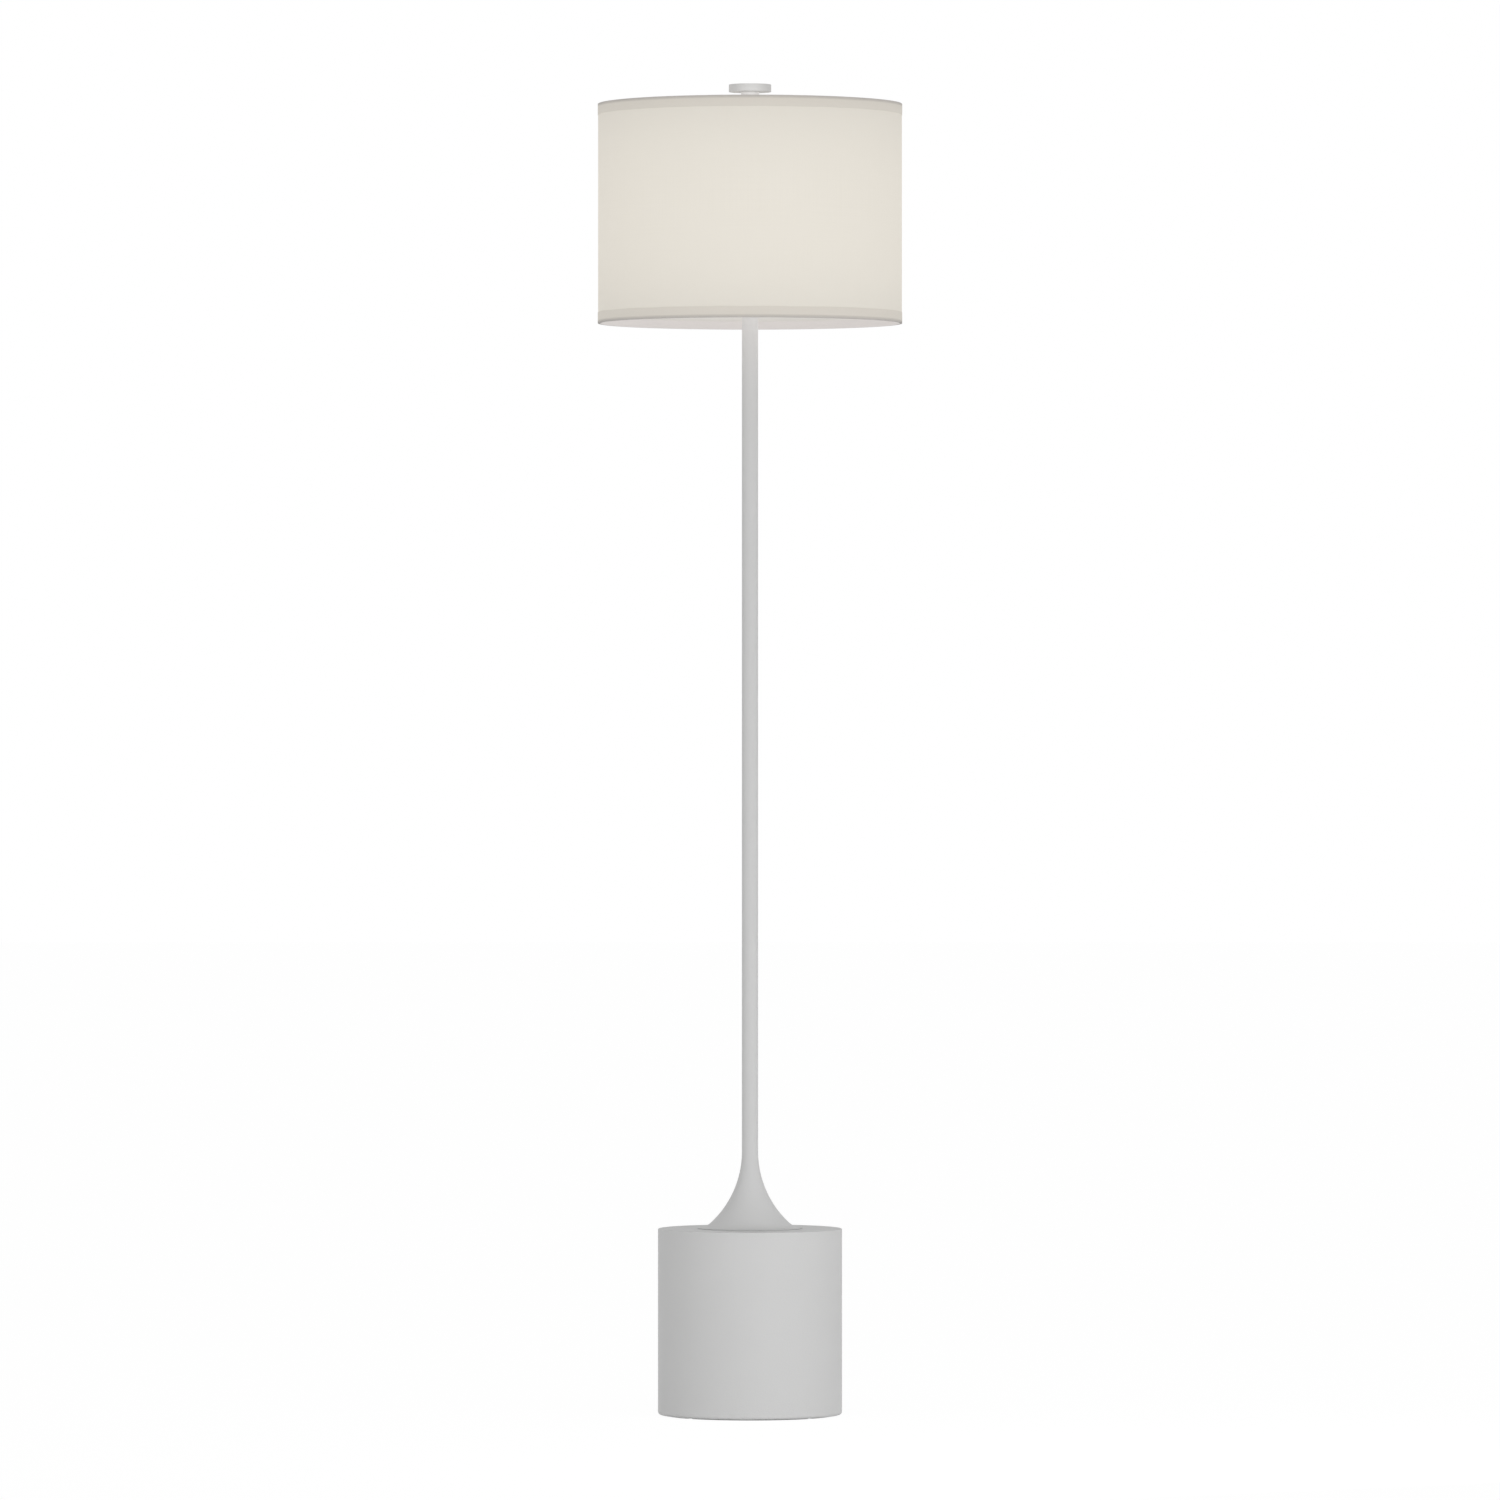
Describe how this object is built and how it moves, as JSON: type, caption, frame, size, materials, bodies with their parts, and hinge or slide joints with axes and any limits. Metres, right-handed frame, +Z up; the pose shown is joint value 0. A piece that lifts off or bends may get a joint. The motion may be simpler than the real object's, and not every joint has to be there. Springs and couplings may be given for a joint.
{
  "type": "floor lamp",
  "caption": "Column floor lamp with a weighted drum base, a flared collar, a slim column, and a cloth drum shade hung on a harp over a screw-base bulb.",
  "frame": {"origin": "on the floor, under the middle of the base", "axes": "+Z up along the column; the cord gland and the shade's seam are at the back, towards +Y; the switch knob faces the front, -Y"},
  "size_m": [0.3573, 0.3572, 1.5613],
  "materials": {
    "painted_steel": "matt white powder coat",
    "felt": "pressed felt",
    "zinc_steel": "zinc plated",
    "cast_iron": "rough cast, unpainted",
    "nickel": "satin nickel",
    "white_nylon": "moulded",
    "fibre": "pressed fibre",
    "black_phenolic": "moulded",
    "brass": "turned, uncoated",
    "aluminium": "thin spun sheet",
    "black_rubber": "wire covering",
    "white_rubber": "wire covering",
    "frosted_glass": "frosted white inside",
    "clear_glass": "clear",
    "filament": "coated light sticks",
    "white_wire": "white coated wire",
    "linen": "off-white linen",
    "liner": "white laminate",
    "hem_tape": "folded linen tape"
  },
  "bodies": {
    "stand": {"floor_pad": "felt", "bottom_plate": "zinc_steel", "plate_screws": "zinc_steel", "plate_brackets": "zinc_steel", "ballast": "cast_iron", "base_drum": "painted_steel", "spacer_tube": "zinc_steel", "tie_rod": "zinc_steel", "tie_washer": "zinc_steel", "tie_nut": "zinc_steel", "cord_gland": "white_nylon", "flared_collar": "painted_steel", "column_foot_plug": "zinc_steel", "column_tube": "painted_steel", "column_top_plug": "zinc_steel", "top_nipple": "zinc_steel", "column_cap": "painted_steel", "harp_saddle": "nickel", "saddle_washer": "zinc_steel", "saddle_nut": "zinc_steel", "socket_cup": "nickel", "socket_set_screw": "zinc_steel", "socket_shell": "nickel", "socket_liner": "fibre", "switch_block": "black_phenolic", "terminal_screws": "brass", "screw_shell": "aluminium", "centre_contact": "brass", "live_lead": "black_rubber", "neutral_lead": "white_rubber", "splice_caps": "white_nylon"},
    "switch": {"switch_shaft": "zinc_steel", "switch_knob": "black_phenolic"},
    "bulb": {"bulb_globe": "frosted_glass", "bulb_cap": "aluminium", "bulb_insulator": "black_phenolic", "bulb_contact": "zinc_steel", "bulb_stem": "clear_glass", "bulb_filaments": "filament"},
    "harp": {"harp_frame": "nickel"},
    "sleeve_left": {"left_sleeve": "nickel"},
    "sleeve_right": {"right_sleeve": "nickel"},
    "stud": {"harp_stud": "nickel"},
    "shade": {"spider": "white_wire", "top_ring": "white_wire", "bottom_ring": "white_wire", "shade_liner": "liner", "shade_cloth": "linen", "shade_seam": "linen", "top_hem_tape": "hem_tape", "bottom_hem_tape": "hem_tape"},
    "finial": {"finial": "painted_steel", "finial_insert": "brass"}
  },
  "joints": [
    {"name": "switch_turn", "type": "hinge", "parent": "stand", "child": "switch", "pos_m": [0, -0.03, 1.3467], "axis": [0, -1, 0], "continuous": true},
    {"name": "bulb_lift", "type": "slide", "parent": "stand", "child": "bulb", "axis": [0, 0, 1], "range_m": [0, 0.028]},
    {"name": "harp_lift", "type": "slide", "parent": "stand", "child": "harp", "axis": [0, 0, 1], "range_m": [0, 0.02]},
    {"name": "left_sleeve_lift", "type": "slide", "parent": "harp", "child": "sleeve_left", "axis": [0, 0, 1], "range_m": [0, 0.012]},
    {"name": "right_sleeve_lift", "type": "slide", "parent": "harp", "child": "sleeve_right", "axis": [0, 0, 1], "range_m": [0, 0.012]},
    {"name": "shade_swivel", "type": "hinge", "parent": "harp", "child": "stud", "pos_m": [0, 0, 1.522], "axis": [0, 0, 1], "continuous": true},
    {"name": "shade_lift", "type": "slide", "parent": "stud", "child": "shade", "axis": [0, 0, 1], "range_m": [0, 0.27]},
    {"name": "finial_lift", "type": "slide", "parent": "shade", "child": "finial", "axis": [0, 0, 1], "range_m": [0, 0.03]}
  ]
}
